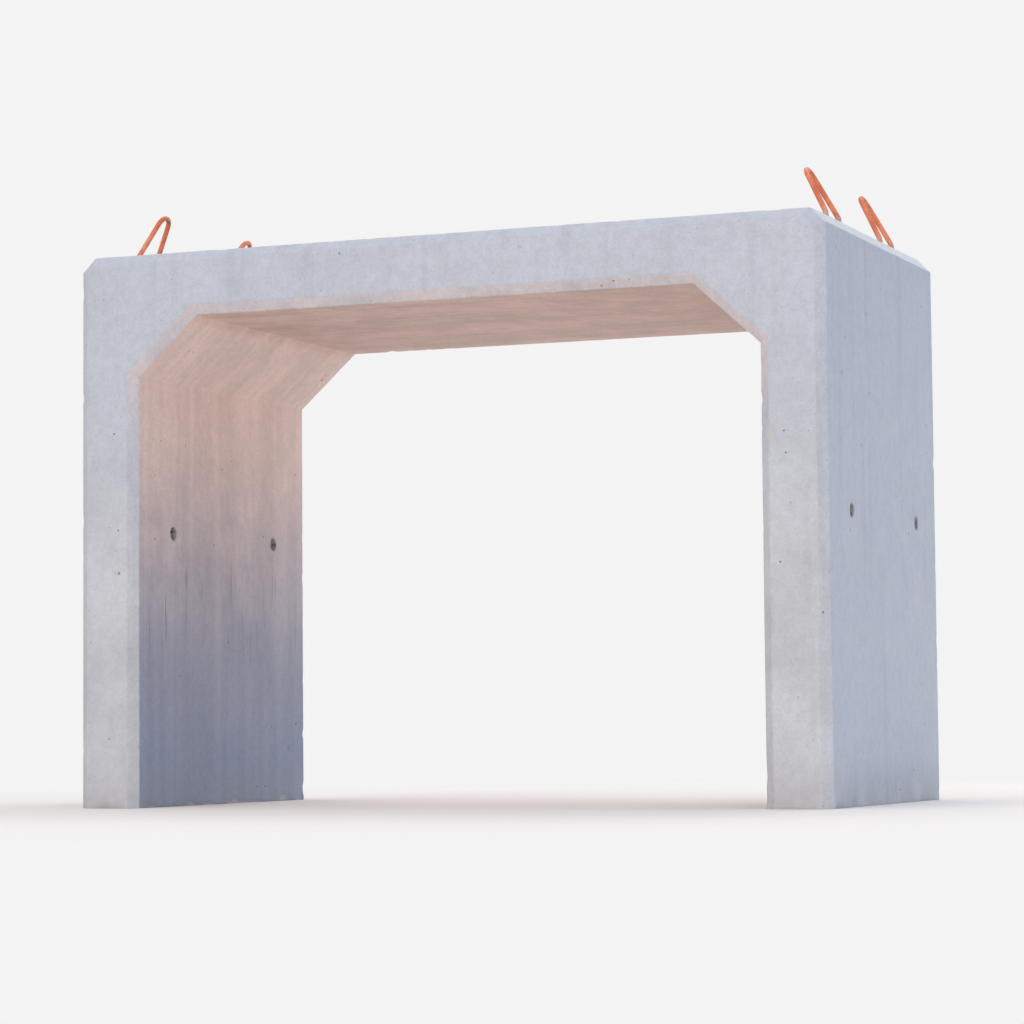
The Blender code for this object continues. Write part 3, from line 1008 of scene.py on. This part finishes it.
# %% Paint
paint = Finish("orange_loop_paint")
up_the_bar, hooked = paint.tone[0], paint.tone[1]
fading = paint.noise(22.0, 3.0, 0.6)
specks = paint.noise(190.0, 3.0, 0.65)
colour = paint.mix(paint.ramp(fading, 0.35, 0.65), (0.66, 0.145, 0.055), (0.84, 0.280, 0.145))
colour = paint.shade(colour, specks, 0.88, 1.10)
spots = paint.ramp(specks, 0.66, 0.71)
rust_colour = paint.mix(specks, (0.10, 0.035, 0.016), (0.30, 0.11, 0.045))
colour = paint.cover(colour, spots, 0.85, rust_colour)
bare = paint.times(paint.ramp(hooked, 0.25, 0.75), paint.ramp(specks, 0.30, 0.42))
colour = paint.mix(bare, colour, (0.17, 0.135, 0.115))
splashed = paint.times(paint.ramp(up_the_bar, 0.20, 0.02), paint.ramp(paint.noise(110.0, 3.0, 0.6), 0.42, 0.52))
colour = paint.cover(colour, splashed, 0.9, (0.50, 0.48, 0.45))
height = paint.sum(paint.times(spots, -0.25), paint.times(splashed, 0.35), paint.times(specks, 0.12))
roughness = paint.sum(paint.ramp(fading, 0.3, 0.7, 0.42, 0.56), paint.times(paint.sum(spots, splashed), 0.3))
paint.done(colour, roughness, height, *loops)
print("paint nodes:", len(paint.tree.nodes))

# %% [markdown]
# ## Plastic with a skin of cement
#
# The sleeves are dark grey plastic. Cement paste has dried on them in a thin broken skin, thickest near the rims.

# %% Sleeve plastic
plastic = Finish("cement_stained_plastic")
film = plastic.noise(75.0, 4.0, 0.65)
near_rim = plastic.ramp(plastic.folded(plastic.axes[0], half - WALL / 2.0), 0.060, 0.098)
skin = plastic.ramp(plastic.sum(film, plastic.times(near_rim, 0.14)), 0.52, 0.62)
colour = plastic.shade(plastic.mix(film, (0.040, 0.043, 0.048), (0.070, 0.073, 0.078)), film, 0.9, 1.1)
colour = plastic.cover(colour, skin, 0.8, (0.40, 0.385, 0.37))
roughness = plastic.ramp(skin, 0.0, 1.0, 0.42, 0.85)
plastic.done(colour, roughness, plastic.sum(plastic.times(skin, 0.2), plastic.times(film, 0.1)), *sleeves)
print("plastic nodes:", len(plastic.tree.nodes))

# %% [markdown]
# ## Floor, sky and lamps
#
# The unit stands on a large floor of a pale, warm colour. To the camera it fades into an even pale surround, and
# so it does in anything glossy or clear, but it still catches the shadow and throws its light up into the opening.
# Even light from the sky does most of the work, and that is bluer on the right. Of the five lamps, a broad one in
# front and to the left makes the end face the brightest, and a weak cool one lights the side. Two low warm ones,
# in front and behind, fill the opening, and a high one behind brightens the top and the shoulders.

# %% Floor
BACKGROUND = (0.90, 0.90, 0.90, 1.0)
FLOOR_RADIUS, FLOOR_DROP = 40.0, 0.0005
FADE_START, FADE_END = 1.5, 4.2


def pale_floor():
    """Rings round the middle, each point at its ring's radius and angle, half a millimetre under the feet."""
    radius = np.array([0.0, 2.0, 4.0, 8.0, 16.0, FLOOR_RADIUS])[1:, None]
    angle = np.linspace(0.0, 2.0 * math.pi, 97)[:-1]
    points = np.stack([radius * np.cos(angle), radius * np.sin(angle), 0.0 * radius * angle - FLOOR_DROP], axis=-1)
    floor = Shell()
    numbers = floor.add_points(points, (0.0, 0.0, 0.0))
    floor.add_ring_faces(numbers[1:], numbers[:-1])
    floor.add_fan(numbers[:1], floor.add_points(np.array([[0.0, 0.0, -FLOOR_DROP]]), (0.0, 0.0, 0.0)))
    return floor.make("pale_floor")


floor = pale_floor()
ground = Finish("pale_floor_paint")
fade = ground.times(ground.ramp(ground.length(ground.place), FADE_START, FADE_END), ground.seen())
glow = ground.add("ShaderNodeEmission", {"Color": BACKGROUND, "Strength": 1.0}).outputs[0]
tint = ground.shade((0.86, 0.80, 0.75), ground.noise(0.8, 3.0), 0.98, 1.02)
ground.done(tint, 0.9, ground.times(ground.noise(60.0, 2.0), 0.1), floor)
both = ground.add("ShaderNodeMixShader", {0: fade, 1: ground.shader.outputs[0], 2: glow}).outputs[0]
ground.wire(ground.tree.nodes["Material Output"].inputs["Surface"], both)
print("floor radius:", FLOOR_RADIUS)

# %% Sky
SKY_LOW, SKY_HIGH = 0.50, 1.30
world = bpy.data.worlds.new("soft_surround")
bpy.context.scene.world = world
world.use_nodes = True
surround = Network(world.node_tree)
sky = surround.tree.nodes["Background"]
generated = surround.add("ShaderNodeTexCoord").outputs["Generated"]
direction = surround.add("ShaderNodeSeparateXYZ", {0: generated}).outputs
upwards = {"Value": direction[2], "From Min": 0.25, "To Min": SKY_LOW, "To Max": SKY_HIGH}
surround.wire(sky.inputs["Strength"], surround.add("ShaderNodeMapRange", upwards).outputs[0])
rightwards = {"Value": direction[0], "From Min": -0.1, "From Max": 0.7}
rightwards = surround.add("ShaderNodeMapRange", rightwards).outputs[0]
colours = {0: rightwards, 6: (0.97, 0.975, 1.0, 1.0), 7: (0.62, 0.79, 1.05, 1.0)}
surround.wire(sky.inputs["Color"], surround.add("ShaderNodeMix", colours, data_type="RGBA").outputs[2])
backdrop = surround.add("ShaderNodeBackground", {"Color": BACKGROUND}).outputs[0]
either = surround.add("ShaderNodeMixShader", {0: surround.seen(), 1: sky.outputs[0], 2: backdrop}).outputs[0]
surround.wire(surround.tree.nodes["World Output"].inputs["Surface"], either)
print("sky strength from", SKY_LOW, "at the horizon to", SKY_HIGH, "overhead")

# %% Lamps
LAMP_AIM = Vector((0.0, 0.0, 0.9))


def soft_lamp(name, place, size, watts, colour):
    """A square lamp that looks at the middle of the unit."""
    lamp = bpy.data.lights.new(name, "AREA")
    lamp.size, lamp.energy, lamp.color = size, watts, colour
    thing = bpy.data.objects.new(name, lamp)
    thing.visible_camera = False
    bpy.context.scene.collection.objects.link(thing)
    thing.location = place
    thing.rotation_euler = (LAMP_AIM - Vector(place)).to_track_quat("-Z", "Y").to_euler()


soft_lamp("broad_key", (-3.5, -10.0, 6.0), 5.0, 195.0, (1.0, 0.985, 0.975))
soft_lamp("cool_side", (9.0, -1.5, 4.0), 5.0, 10.0, (0.70, 0.85, 1.0))
soft_lamp("low_warm_fill", (4.5, -8.0, 0.5), 3.0, 230.0, (1.0, 0.93, 0.87))
soft_lamp("low_back_fill", (2.2, 6.5, 0.6), 3.0, 140.0, (1.0, 0.88, 0.80))
soft_lamp("high_back", (0.4, 3.2, 7.0), 2.5, 80.0, (1.0, 0.97, 0.93))

# %% [markdown]
# ## The camera
#
# The camera stands where the photographer stood, low and to the right of the unit, ten metres off, and looks
# slightly up. A long lens brings the unit up to the frame without changing its perspective. The horizon leans by
# half a degree, as it does in the photograph.

# %% Camera
CAMERA_PLACE = Vector((3.8104, -9.3254, 0.2261))
CAMERA_AIM = Vector((0.0, 0.0, 0.905))
LEAN_TO_RIGHT = math.radians(0.5)
lens = bpy.data.cameras.new("long_lens")
lens.lens, lens.sensor_width = 114.0, 36.0
lens.clip_end = 200.0
camera = bpy.data.objects.new("camera", lens)
bpy.context.scene.collection.objects.link(camera)
facing = (CAMERA_AIM - CAMERA_PLACE).to_track_quat("-Z", "Y").to_matrix().to_4x4()
camera.matrix_world = Matrix.Translation(CAMERA_PLACE) @ facing @ Matrix.Rotation(-LEAN_TO_RIGHT, 4, "Z")
bpy.context.scene.camera = camera
bpy.context.scene.view_settings.view_transform = "Standard"
print("camera to unit:", round((CAMERA_AIM - CAMERA_PLACE).length, 2), "metres")
